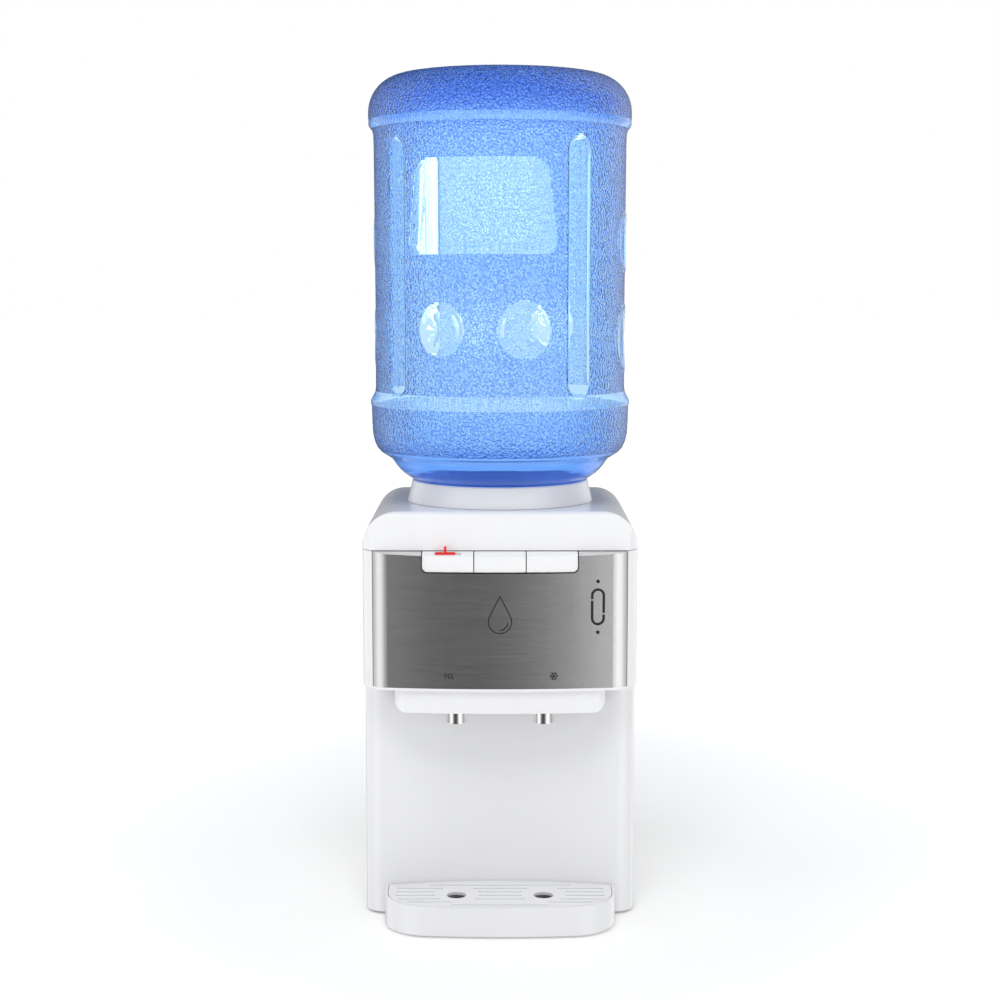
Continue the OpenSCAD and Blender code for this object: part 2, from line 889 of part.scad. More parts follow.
// The plastic pipes below the valves: the room valve's pipe crosses to the cold spout.
module spout_manifold() {
    tail_top = head_z + 10;
    color(grey) at_axis() translate([0, -spout_reach, 0]) difference() {
        union() {
            for (side = [-1, 1]) {
                translate([side * spout_x, 0, tail_top + 0.1]) {
                    cylinder(r = pipe_r + 2, h = valve_low - tail_top - 0.2);
                }
            }
            translate([0, 0, cross_z]) cylinder(r = pipe_r, h = valve_low - 0.1 - cross_z);
            translate([0, 0, cross_z]) sphere(r = pipe_r, $fn = 48);
            translate([0, 0, cross_z]) rotate([0, 90, 0]) cylinder(r = pipe_r, h = spout_x);
        }
        for (side = [-1, 1]) {
            translate([side * spout_x, 0, 0]) cylinder(r = pipe_bore, h = far);
        }
        translate([0, 0, cross_z]) cylinder(r = pipe_bore, h = far);
        translate([0, 0, cross_z]) rotate([0, 90, 0]) cylinder(r = pipe_bore, h = spout_x);
    }
}

// A chromed spout: a thick tip below the nozzle cover and a thinner tail above.
module spout(side) {
    tail_h = head_z + 10 - spout_z - tip_h;
    color(steel) at_axis() translate([side * spout_x, -spout_reach, spout_z]) rotate_extrude() {
        difference() {
            union() {
                translate([0, 1]) square([spout_d / 2, tip_h - 1]);
                square([spout_d / 2 - 1, 2]);
                translate([spout_d / 2 - 1, 1]) circle(r = 1, $fn = 32);
                translate([0, tip_h - eps]) square([tail_r, tail_h]);
            }
            translate([-far, -1]) square([far + spout_bore / 2, far]);
        }
    }
}

// ---------- water path above the tanks ----------

module water_cup() {
    r_in = well_r + well_t + cup_gap;
    color(white) at_axis() difference() {
        union() {
            translate([0, 0, cup_z]) cylinder(r = r_in + cup_t, h = cup_h);
            translate([0, 0, tank_top + 0.2]) cylinder(r = pipe_r + 1, h = cup_z - tank_top);
        }
        translate([0, 0, cup_z + cup_t]) cylinder(r = r_in, h = cup_h);
        translate([0, 0, tank_top - 1]) cylinder(r = pipe_r - 1, h = far);
    }
}

module cup_seal() {
    r_in = well_r + well_t + seal_gap;
    r_out = well_r + well_t + cup_gap;
    color(dark) at_axis() translate([0, 0, cup_z + cup_h - 8]) tube(r_out, r_in, 4);
}

// The receiver that lifts out: a ring on the cover, a funnel and a tube with a floor.
module receiver() {
    floor_r = well_r + well_t;
    fit = 0.5;
    color(white) at_axis() difference() {
        rotate_extrude($fn = 128) polygon([
            [0, well_z],
            [floor_r, well_z],
            [floor_r, cone_low[1] - 1 - well_t],
            [cone_top[0] - well_t, cone_top[1] - 7],
            [receiver_r - well_t, top_z + 0.3],
            [receiver_r, top_z + 0.3],
            [receiver_top_r + 1, cone_top[1] - 1.2],
            [receiver_top_r, cone_top[1]],
            [cone_top[0] + fit, cone_top[1]],
            [well_r, cone_low[1] - 1],
            [well_r, well_z + well_t],
            [probe_r + 0.1, well_z + well_t],
            [probe_r + 0.1, well_z + well_t - 1.5],
            [0, well_z + well_t - 1.5]
        ]);
        for (i = [0:3]) {
            rotate([0, 0, i * 90 + flute_turn]) {
                translate([-7, -receiver_top_r + 0.6, cone_top[1] - 1.6]) cube([14, 1.4, 3]);
            }
        }
        for (i = [0:5]) {
            rotate([0, 0, i * 60]) translate([probe_r + 10, 0, well_z - 1]) cylinder(r = 3, h = far);
        }
    }
}

module probe() {
    top = neck_z + 33;
    low = well_z + well_t - 1.5;
    color(white) at_axis() difference() {
        translate([0, 0, low]) {
            cylinder(r = probe_r, h = top - low - 6);
            translate([0, 0, top - low - 6 - eps]) cylinder(r1 = probe_r, r2 = 4, h = 6);
        }
        translate([0, 0, low + 4]) cylinder(r = probe_r - 2, h = top - low - 14);
        for (z = [low + 14, top - 18]) {
            translate([-far / 2, 0, z]) rotate([0, 90, 0]) cylinder(r = 2.6, h = far, $fn = 32);
        }
    }
}

// ---------- bottle ----------

// The bottle's outline: radius against height. The inner one lies a wall inside.
module bottle_profile(t = 0) {
    mid = bottle_r - band_in - t;
    low_r = bottle_r - 2 - t;
    neck_end = neck_z - (t > 0 ? 1 : 0);
    polygon(concat(
        [[0, bottle_top_z - t]],
        arc([bottle_r - end_r, bottle_top_z - end_r], end_r - t, 90, 0, 14),
        [
            [bottle_r - t, band_top_z - 4],
            [mid, band_top_z - 12],
            [mid, band_low_z + 9],
            [low_r + 2, band_low_z],
            [low_r, band_low_z - 12],
            [low_r, wide_low_z + 14],
            [low_r - 3, wide_low_z + 3],
            [low_r - 14, wide_low_z - 9],
            [cone_top[0] + 8 - t, cone_top[1] + 5],
            [cone_top[0] - t, cone_top[1]],
            [cone_low[0] - t, cone_low[1]],
            [neck_r - t, cone_low[1] - 5],
            [neck_r - t, neck_end],
            [0, neck_end]
        ]
    ));
}

module bottle() {
    color(clear_blue) at_axis() rotate_extrude($fn = 128) difference() {
        bottle_profile();
        bottle_profile(bottle_t);
        translate([-far, 0]) square([far, 4 * far]);
    }
}

module bottle_cap() {
    color([0.8, 0.86, 0.96]) at_axis() rotate_extrude() polygon([
        [probe_r + probe_hole, cap_low],
        [neck_r + 2, cap_low],
        [neck_r + 2, cap_low + 20],
        [neck_r + 0.15, cap_low + 20],
        [neck_r + 0.15, cap_low + cap_t],
        [probe_r + probe_hole, cap_low + cap_t]
    ]);
}

// ---------- tanks, cooler and electrics ----------

module cold_box(grow = 0) {
    size = cold_size + 2 * [grow, grow, grow];
    translate([0, tank_y, tank_top - cold_size[2] - grow]) {
        linear_extrude(size[2]) rounded_rect(size[0], size[1], 10 + grow);
    }
}

module cold_tank() {
    wall = 2;
    color(steel) at_axis() difference() {
        cold_box();
        cold_box(-wall);
        translate([0, 0, tank_top - wall - 1]) cylinder(r = pipe_r - 1, h = 2 * wall);
    }
}

module tank_foam() {
    color([0.9, 0.88, 0.75]) at_axis() difference() {
        cold_box(foam_t);
        cold_box(0.2);
        translate([0, 0, tank_top]) cylinder(r = pipe_r + 1.2, h = far);
        translate([-block_size / 2 - 0.3, block_y - 1, fan_z - block_size / 2 - 0.3]) {
            cube([block_size + 0.6, far, block_size + 0.6]);
        }
    }
}

module cold_block() {
    color(steel) at_axis() translate([-block_size / 2, block_y, fan_z - block_size / 2]) {
        cube([block_size, block_d, block_size]);
    }
}

module peltier() {
    color(white) at_axis() translate([-block_size / 2, chip_y, fan_z - block_size / 2]) {
        cube([block_size, chip_d, block_size]);
    }
}

module heatsink() {
    fins = 13;
    fin_t = 1.6;
    pitch = (sink_w - fin_t) / (fins - 1);
    color(steel) at_axis() translate([-sink_w / 2, sink_y, fan_z - sink_w / 2]) {
        cube([sink_w, sink_base, sink_w]);
        for (i = [0:fins - 1]) {
            translate([i * pitch, 0, 0]) cube([fin_t, sink_base + sink_fins, sink_w]);
        }
    }
}

// The fan stands upright behind the heatsink: its spindle lies along Y.
module in_fan() {
    at_axis() translate([0, fan_y, fan_z]) rotate([-90, 0, 0]) children();
}

module fan_frame() {
    color(dark) in_fan() {
        difference() {
            linear_extrude(fan_d) rounded_rect(fan_size, fan_size, 5);
            translate([0, 0, -eps]) cylinder(d = fan_bore, h = fan_d + 1);
        }
        for (a = [0:90:270]) {
            rotate([0, 0, a + 45]) translate([hub_r - 3, -2, fan_d - 3]) {
                cube([fan_bore / 2 - hub_r + 4, 4, 3]);
            }
        }
        translate([0, 0, fan_d - 3]) cylinder(r = hub_r, h = 3);
        translate([0, 0, fan_d - 10]) cylinder(r = 2.5, h = 8);
    }
}

module fan_rotor() {
    blades = 7;
    color(dark) in_fan() difference() {
        union() {
            translate([0, 0, 2]) cylinder(r = hub_r, h = 18);
            for (i = [0:blades - 1]) {
                rotate([0, 0, i * 360 / blades]) translate([hub_r - 2, 0, 11]) rotate([38, 0, 0]) {
                    translate([0, -9, -0.9]) cube([fan_bore / 2 - hub_r - 1.5, 18, 1.8]);
                }
            }
        }
        translate([0, 0, fan_d - 11]) cylinder(r = 2.55, h = 20);
    }
}

module hot_tank() {
    wall = 1.2;
    color(steel) at_axis() translate([hot_at[0], hot_at[1], hot_low]) difference() {
        union() {
            cylinder(r = hot_tank_r, h = hot_tank_h);
            translate([0, 0, hot_tank_h - eps]) cylinder(r = pipe_r + 1, h = 8);
        }
        translate([0, 0, wall]) cylinder(r = hot_tank_r - wall, h = hot_tank_h - 2 * wall);
        translate([0, 0, hot_tank_h - 2 * wall]) cylinder(r = pipe_r, h = 20);
    }
}

module heater_band() {
    color(grey) at_axis() translate([hot_at[0], hot_at[1], hot_low + 22]) {
        tube(hot_tank_r + band_t, hot_tank_r + 0.2, 42);
        translate([-6, hot_tank_r + 3, 12]) cube([12, 6, 18]);
    }
}

module power_board() {
    size = [96, 1.6, 110];
    color([0.1, 0.4, 0.2]) at_axis() translate([22, 62, 84]) {
        cube(size);
        translate([8, -26, 8]) cube([34, 26, 30]);
        translate([56, -18, 14]) cube([24, 18, 22]);
        for (i = [0:3]) {
            translate([14 + i * 20, 0, 70]) rotate([90, 0, 0]) cylinder(r = 7, h = 22);
        }
        for (x = [4, size[0] - 4], z = [4, size[2] - 4]) {
            translate([x, size[1], z]) rotate([-90, 0, 0]) cylinder(r = 3, h = 8);
        }
    }
}

// The earthed appliance inlet: a recessed socket with three flat blades.
module power_inlet() {
    deep = 22;
    body = inlet - [0.6, 0.6];
    mouth = [23.6, 16];
    blade_w = 2;
    blade_h = 4;
    color(dark) at_axis() translate([inlet_at[0], back_reach, inlet_at[1]]) rotate([90, 0, 0]) {
        difference() {
            union() {
                linear_extrude(deep) rounded_rect(body[0], body[1], 1.8);
                translate([0, 0, wall_t + 0.1]) linear_extrude(2) {
                    rounded_rect(body[0] + 6, body[1] + 6, 2);
                }
            }
            translate([0, 0, -1]) linear_extrude(deep - 3) rounded_rect(mouth[0], mouth[1], 2);
        }
        for (at = [[-7, -1.5], [7, -1.5], [0, 2.5]]) {
            translate([at[0] - blade_w / 2, at[1] - blade_h / 2, 6]) cube([blade_w, blade_h, deep - 8]);
        }
        for (x = [-7, 7]) {
            translate([x - 2.4, -0.6, deep - eps]) cube([4.8, 0.8, 9]);
        }
    }
}

// One curved corner between the middles of two straight stretches.
function corner(a, b, c) = [
    for (t = [0.1:0.2:0.9]) (1 - t) * (1 - t) * (a + b) / 2 + 2 * t * (1 - t) * b + t * t * (b + c) / 2
];

// A path through a list of points with its corners rounded.
function rounded_path(p) = [
    p[0],
    for (i = [1:len(p) - 2]) each corner(p[i - 1], p[i], p[i + 1]),
    p[len(p) - 1]
];

// The points of a ring round p, square to the direction t.
function pipe_ring(p, t, r, sides) = let(
    u = cross(t, aside) / norm(cross(t, aside)),
    v = cross(t, u) / norm(t)
) [for (k = [0:sides - 1]) p + r * (u * cos(360 * k / sides) + v * sin(360 * k / sides))];

// A round pipe swept along a path.
module pipe(points, r, sides = 12) {
    path = rounded_path(points);
    last = len(path) - 1;
    rings = [
        for (i = [0:last]) each pipe_ring(path[i], path[min(i + 1, last)] - path[max(i - 1, 0)], r, sides)
    ];
    skin = [
        for (i = [0:last - 1], k = [0:sides - 1]) let(n = (k + 1) % sides)
            [i * sides + k, (i + 1) * sides + k, (i + 1) * sides + n, i * sides + n]
    ];
    polyhedron(rings, concat(
        skin,
        [[for (k = [0:sides - 1]) k]],
        [[for (k = [sides - 1:-1:0]) last * sides + k]]
    ), convexity = 10);
}

// The silicone hoses between cup, tanks and valves.
module water_hoses() {
    valve_side = valve_d / 2 + 0.3;
    port_z = valve_low + 24;
    hot_top = hot_low + hot_tank_h + 8.2;
    cup_r = well_r + well_t + cup_gap + cup_t + 0.3;
    cup_port_z = cup_z + 12;
    foam_y = tank_y - cold_size[1] / 2 - foam_t - 0.3;
    cold_port_z = tank_top - 20;
    hot_side = hot_at[0] - hot_tank_r - 0.3;
    down_x = hot_side - band_t - 2 * pipe_r;
    color([0.85, 0.87, 0.9]) at_axis() {
        pipe([
            [0, -cup_r, cup_port_z],
            [0, -cup_r - 20, cup_port_z],
            [0, -spout_reach + valve_side + 12, port_z],
            [0, -spout_reach + valve_side, port_z]
        ], pipe_r);
        pipe([
            [34, foam_y, cold_port_z],
            [34, foam_y - 10, cold_port_z],
            [spout_x, -spout_reach + valve_side + 8, port_z],
            [spout_x, -spout_reach + valve_side, port_z]
        ], pipe_r);
        pipe([
            [hot_at[0], hot_at[1], hot_top],
            [hot_at[0], hot_at[1], hot_top + 20],
            [-92, -30, hot_top + 40],
            [-92, -84, port_z - 24],
            [-spout_x - valve_side - 18, -spout_reach, port_z],
            [-spout_x - valve_side, -spout_reach, port_z]
        ], pipe_r);
        pipe([
            [-cup_r, 0, cup_port_z],
            [-cup_r - 16, 0, cup_port_z],
            [-104, 20, cup_z],
            [down_x, 40, 190],
            [down_x, hot_at[1], 120],
            [down_x, hot_at[1], hot_low + 12],
            [hot_side, hot_at[1], hot_low + 12]
        ], pipe_r);
    }
}

// The two drain pipes and their threaded fittings in the rear panel.
module drain_pipes() {
    out_y = back_reach - 14;
    color(white) at_axis() {
        pipe([
            [drain_x[0], out_y, drain_z],
            [drain_x[0], 66, drain_z],
            [hot_at[0], hot_at[1], 24],
            [hot_at[0], hot_at[1], hot_low - 0.2]
        ], pipe_r);
        pipe([
            [drain_x[1], out_y, drain_z],
            [drain_x[1], 96, drain_z + 10],
            [-8, 74, 150],
            [-8, 10, tank_top - cold_size[2] - foam_t - 12],
            [-8, 10, tank_top - cold_size[2] - foam_t - 0.2]
        ], pipe_r);
        for (x = drain_x) {
            translate([x, back_reach - 15, drain_z]) rotate([-90, 0, 0]) difference() {
                union() {
                    cylinder(r = drain_r, h = 16.5);
                    translate([0, 0, 8]) cylinder(r = drain_r + 3, h = 15 - wall_t - 8.1);
                }
                translate([0, 0, 4]) cylinder(r = plug_r + 0.05, h = 20);
            }
        }
    }
}

// A drain cap: a ribbed knob outside with a plug that closes the fitting.
module drain_cap(i) {
    knob_h = drain_out - 2;
    color(white) at_axis() translate([drain_x[i], back_reach + 2, drain_z]) rotate([-90, 0, 0]) {
        difference() {
            cylinder(r = drain_r + 2, h = knob_h);
            for (a = [0:30:330]) {
                rotate([0, 0, a]) translate([drain_r + 2.6, 0, 1.5]) cylinder(r = 1.4, h = far, $fn = 24);
            }
        }
        translate([0, 0, -10]) cylinder(r = plug_r, h = 10 + eps);
    }
}

// A rocker pressed in at its lower end; the other end stands out.
module rocker(i) {
    half = switch_size[1] / 2 - 1;
    front = back_reach - 1.4 - rocker_y;
    color(i == 0 ? [0.8, 0.1, 0.08] : [0.1, 0.55, 0.25]) at_axis() {
        translate([switch_x[i], rocker_y, switch_z]) rotate([-rocker_tilt, 0, 0]) {
            across(switch_size[0] - 1.2) polygon([
                [-7, -half], [front, -half], [front - 0.6, 0], [front, half], [-7, half]
            ]);
        }
    }
}

module rear_screws() {
    color(steel) at_axis() for (at = rear_screw_at) {
        translate([at[0], back_reach - wall_t - 9, at[1]]) rotate([-90, 0, 0]) {
            cylinder(r = screw_r - 0.05, h = wall_t + 9);
            screw_head(wall_t + 9.05);
        }
    }
}

module base_screws() {
    color(steel) at_axis() for (at = base_screw_at) {
        translate([at[0], at[1], foot_h + base_t + 9]) rotate([180, 0, 0]) {
            cylinder(r = screw_r - 0.05, h = base_t + 9);
            screw_head(base_t + 9.05);
        }
    }
}

// A pan head with a cross slot, at a distance along the screw.
module screw_head(at) {
    translate([0, 0, at - 0.05]) difference() {
        union() {
            cylinder(r = 3, h = 1);
            translate([0, 0, 1 - eps]) cylinder(r1 = 3, r2 = 2.2, h = 0.8);
        }
        for (a = [0, 90]) {
            rotate([0, 0, a]) translate([-1.8, -0.35, 0.9]) cube([3.6, 0.7, 2]);
        }
    }
}

// ---------- drip tray ----------

// The tray seen from above; its back follows the hollow wall.
module tray_plan(inset = 0, back_inset = 0) {
    intersection() {
        bowed_outline(tray_w / 2, tray_reach, tray_r, 0, tray_r, inset);
        translate([0, -wall_reach - recess_r]) {
            circle(r = recess_r - wall_gap - back_inset, $fn = smooth);
        }
    }
}

module drip_tray() {
    floor_t = 2.5;
    color(white) at_axis() difference() {
        union() {
            translate([0, 0, tray_low]) linear_extrude(tray_z - tray_low) tray_plan();
            for (side = [-1, 1]) {
                translate([side * hook_x - hook[0] / 2, -wall_reach - 16, hook_z]) {
                    cube([hook[0], 16 + hook[1], hook[2]]);
                }
            }
        }
        translate([0, 0, tray_low + floor_t]) linear_extrude(far) tray_plan(tray_t + 2, tray_t + 2);
        translate([0, 0, tray_z - grille_t - 0.2]) linear_extrude(far) tray_plan(tray_t, tray_t);
    }
}

module drip_grille() {
    inset = tray_t + grille_gap;
    color(white) at_axis() translate([0, 0, tray_z - grille_t]) difference() {
        linear_extrude(grille_t) tray_plan(inset, inset);
        for (row = slot_rows, slot = row[1]) {
            translate([slot[0], row[0], -1]) linear_extrude(grille_t + 2) {
                rounded_rect(slot[1], 2 * slot_r, slot_r - eps);
            }
        }
        for (side = [-1, 1]) {
            translate([side * spout_x, hole_y, -1]) cylinder(d = grille_hole_d, h = grille_t + 2);
        }
    }
}

base_plate();
rubber_feet();
lower_front_panel();
left_side_panel();
right_side_panel();
rear_panel();
top_cover();
head_floor();
front_fascia();
fascia_carrier();
nozzle_cover();
drop_emblem();
indicator_ring();
key_rod();
valve(0);  // hot_valve
valve(1);  // room_valve
valve(2);  // cold_valve
key_spring(0);  // hot_spring
key_spring(1);  // room_spring
key_spring(2);  // cold_spring
spout(-1);  // hot_spout
spout(1);  // cold_spout
spout_manifold();
water_cup();
cup_seal();
cold_tank();
tank_foam();
cold_block();
peltier();
heatsink();
fan_frame();
hot_tank();
heater_band();
power_board();
power_inlet();
water_hoses();
drain_pipes();
rear_screws();
base_screws();
receiver();
probe();
bottle();
bottle_cap();
hot_key();
room_key();
cold_key();
hot_lock();
plunger(0);  // hot_plunger
plunger(1);  // room_plunger
plunger(2);  // cold_plunger
drip_tray();
drip_grille();
fan_rotor();
rocker(0);  // hot_switch
rocker(1);  // cold_switch
drain_cap(0);  // hot_drain_cap
drain_cap(1);  // cold_drain_cap
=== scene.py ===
"""Looks of the countertop water dispenser: the bottle's mesh, every material, the light and the camera."""
import json
import math

import bmesh
import bpy
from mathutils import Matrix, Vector


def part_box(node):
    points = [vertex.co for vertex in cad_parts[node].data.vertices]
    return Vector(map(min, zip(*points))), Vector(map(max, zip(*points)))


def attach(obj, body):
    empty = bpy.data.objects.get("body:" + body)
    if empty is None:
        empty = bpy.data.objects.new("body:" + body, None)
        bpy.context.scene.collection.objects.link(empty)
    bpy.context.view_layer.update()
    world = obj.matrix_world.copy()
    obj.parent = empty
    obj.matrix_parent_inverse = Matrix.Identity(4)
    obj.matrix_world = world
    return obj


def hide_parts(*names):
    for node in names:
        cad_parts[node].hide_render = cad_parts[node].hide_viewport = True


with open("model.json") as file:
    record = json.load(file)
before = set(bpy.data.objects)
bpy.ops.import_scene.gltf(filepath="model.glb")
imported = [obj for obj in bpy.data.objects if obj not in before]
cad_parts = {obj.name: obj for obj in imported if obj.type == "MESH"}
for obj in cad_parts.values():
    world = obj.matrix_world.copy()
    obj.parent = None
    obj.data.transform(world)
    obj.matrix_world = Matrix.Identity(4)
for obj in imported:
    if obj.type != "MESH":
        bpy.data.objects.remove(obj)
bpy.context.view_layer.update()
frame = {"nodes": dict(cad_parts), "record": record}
MM = 0.001


# ---------- places, from the frame ----------

def middle(node):
    """The middle of a node's box."""
    low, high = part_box(node)
    return (Vector(low) + Vector(high)) / 2


bottle_low, bottle_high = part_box("bottle")
AXIS_Y = middle("bottle").y
TOP_Z = bottle_high[2]
NECK_Z = bottle_low[2]
WIDE_R = (bottle_high[0] - bottle_low[0]) / 2
fascia_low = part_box("front_fascia")[0]


# ---------- helpers ----------

def set_stops(ramp, stops):
    """Fills a colour ramp with pairs of place and colour."""
    while len(ramp.elements) < len(stops):
        ramp.elements.new(0.5)
    for element, (at, colour) in zip(ramp.elements, stops):
        element.position = at
        element.color = (*colour, 1)


def add_object(name, data):
    """Puts an object with this mesh, light or camera into the scene."""
    thing = bpy.data.objects.new(name, data)
    bpy.context.scene.collection.objects.link(thing)
    return thing


class Nodes:
    """A short way to write a material's node tree."""

    def __init__(self, name):
        self.material = bpy.data.materials.new(name)
        self.material.use_nodes = True
        self.tree = self.material.node_tree
        self.shader = self.tree.nodes["Principled BSDF"]
        coords = self.tree.nodes.new("ShaderNodeTexCoord")
        self.place = coords.outputs["Object"]

    def add(self, kind, **inputs):
        """A node with these inputs, each a value or another node's output."""
        node = self.tree.nodes.new(kind)
        for key, value in inputs.items():
            self.plug(value, node.inputs[key.replace("_", " ")])
        return node

    def plug(self, value, socket):
        if isinstance(value, bpy.types.NodeSocket):
            self.tree.links.new(value, socket)
        else:
            socket.default_value = value

    def stretch(self, x=1.0, y=1.0, z=1.0):
        """The place on the object, scaled along each axis."""
        node = self.add("ShaderNodeMapping", Vector=self.place, Scale=(x, y, z))
        return node.outputs["Vector"]

    def noise(self, scale, detail=2.0, vector=None, rough=0.5):
        node = self.add("ShaderNodeTexNoise", Vector=vector or self.place, Scale=scale,
                        Detail=detail, Roughness=rough)
        return node.outputs[0]

    def ramp(self, factor, *stops):
        """Colours along a factor."""
        node = self.add("ShaderNodeValToRGB", Fac=factor)
        set_stops(node.color_ramp, stops)
        return node.outputs["Color"]

    def span(self, factor, low, high, start=0.0, end=1.0):
        """From low to high while the factor goes from start to end."""
        node = self.add("ShaderNodeMapRange", Value=factor)
        for socket, value in zip(node.inputs[1:5], (start, end, low, high)):
            socket.default_value = value
        return node.outputs["Result"]

    def math(self, how, a, b=0.0):
        node = self.tree.nodes.new("ShaderNodeMath")
        node.operation = how
        self.plug(a, node.inputs[0])
        self.plug(b, node.inputs[1])
        return node.outputs[0]

    def multiply(self, a, b):
        node = self.tree.nodes.new("ShaderNodeMix")
        node.data_type = "RGBA"
        node.blend_type = "MULTIPLY"
        node.inputs["Factor"].default_value = 1.0
        self.plug(a, node.inputs["A"])
        self.plug(b, node.inputs["B"])
        return node.outputs["Result"]

    def bump(self, height, strength, distance):
        node = self.add("ShaderNodeBump", Height=height, Strength=strength, Distance=distance)
        self.plug(node.outputs["Normal"], self.shader.inputs["Normal"])

    def set(self, **inputs):
        """Sets or links the shader's own inputs."""
        for key, value in inputs.items():
            self.plug(value, self.shader.inputs[key.replace("_", " ")])


def shade(colour, by):
    """A lighter or darker colour."""
    return tuple(min(1.0, c * by) for c in colour)


# ---------- materials ----------

def moulded(name, colour, rough, grain=900.0, depth=0.02, mottle=0.04, coat=0.0):
    """Moulded plastic: faint mottling, a fine skin and slightly uneven gloss."""
    n = Nodes(name)
    base = n.ramp(n.noise(9.0, 3.0), (0.3, shade(colour, 1 - mottle)),
                  (0.7, shade(colour, 1 + mottle)))
    n.set(Base_Color=base, Roughness=n.span(n.noise(35.0, 4.0), rough * 0.85, rough * 1.2),
          Coat_Weight=coat, Coat_Roughness=0.12)
    n.bump(n.noise(grain, 2.0), depth, 0.0004)
    return n.material


def brushed(name, colour, rough, along="x"):
    """Brushed sheet metal: long fine scratches along one direction."""
    n = Nodes(name)
    fine = {"x": (4.0, 900.0, 900.0), "z": (900.0, 900.0, 4.0)}[along]
    line = n.noise(3.0, 6.0, n.stretch(*fine), 0.75)
    broad = n.noise(2.0, 3.0, n.stretch(*(v * 0.12 for v in fine)))
    n.set(Base_Color=n.ramp(line, (0.3, shade(colour, 0.86)), (0.7, shade(colour, 1.1))),
          Metallic=1.0,
          Roughness=n.math("ADD", n.span(line, rough * 0.8, rough * 1.15),
                           n.span(broad, -0.03, 0.05)),
          Anisotropic=0.55)
    n.bump(line, 0.10, 0.0002)
    return n.material


def polished(name, colour, rough):
    """Chrome or bright metal with faint polishing marks."""
    n = Nodes(name)
    smear = n.noise(70.0, 5.0)
    n.set(Base_Color=n.ramp(smear, (0.3, shade(colour, 0.94)), (0.7, colour)),
          Metallic=1.0, Roughness=n.span(smear, rough * 0.6, rough * 1.6))
    n.bump(n.noise(400.0, 2.0), 0.02, 0.0002)
    return n.material


def foamed(name, colour):
    """Rigid foam: fine open cells."""
    n = Nodes(name)
    cells = n.add("ShaderNodeTexVoronoi", Vector=n.place, Scale=420.0).outputs["Distance"]
    n.set(Base_Color=n.ramp(cells, (0.0, shade(colour, 0.8)), (0.6, colour)), Roughness=0.9)
    n.bump(cells, 0.5, 0.0008)
    return n.material


def hammered_blue(name, smooth=False):
    """Clear blue bottle plastic. Its hammered skin breaks the light into small grains, and each grain's
    colour is darkened towards its edge as painted shade.
    Its colour is also darker at the closed end and the shoulder, where the bottle slopes away: painted
    shade."""
    n = Nodes(name)
    facing = n.add("ShaderNodeLayerWeight", Blend=0.38).outputs["Facing"]
    height = n.add("ShaderNodeSeparateXYZ", Vector=n.place).outputs["Z"]
    height_share = n.span(height, 0.0, 1.0, NECK_Z, TOP_Z)
    # painted shade: the blue is darker at the shoulder near the neck and at the closed end, where the
    # bottle slopes away
    painted_shade_by_height = n.ramp(height_share, (0.0, (0.35, 0.60, 0.97)), (0.21, (0.42, 0.66, 0.98)),
                  (0.25, (0.80, 0.92, 0.99)), (0.88, (0.84, 0.94, 0.99)),
                  (0.935, (0.52, 0.68, 0.93)), (1.0, (0.42, 0.56, 0.86)))
    tint = n.ramp(facing, (0.0, (0.93, 0.97, 1.0)), (0.42, (0.80, 0.92, 1.0)),
                  (0.9, (0.24, 0.50, 0.92)))
    cell = n.add("ShaderNodeTexVoronoi", Vector=n.place, Scale=430.0).outputs["Distance"]
    colour = n.multiply(tint, painted_shade_by_height)
    if smooth:
        n.bump(n.noise(45.0, 2.0), 0.08, 0.002)
    else:
        grain = n.math("ADD", cell, n.math("MULTIPLY", n.noise(600.0, 1.0), 0.5))
        # painted shade: each grain of the hammered skin is darkened towards its edge, standing in for the
        # light its bumps throw aside
        painted_grain_shade = n.ramp(grain, (0.40, (1.0, 1.0, 1.0)), (0.62, (0.93, 0.96, 1.0)),
                       (0.86, (0.45, 0.58, 0.86)))
        colour = n.multiply(colour, painted_grain_shade)
        n.bump(grain, 0.8, 0.0011)
    n.set(Base_Color=colour, Transmission_Weight=0.95, IOR=1.33, Specular_IOR_Level=0.7,
          Roughness=0.03)
    return n.material


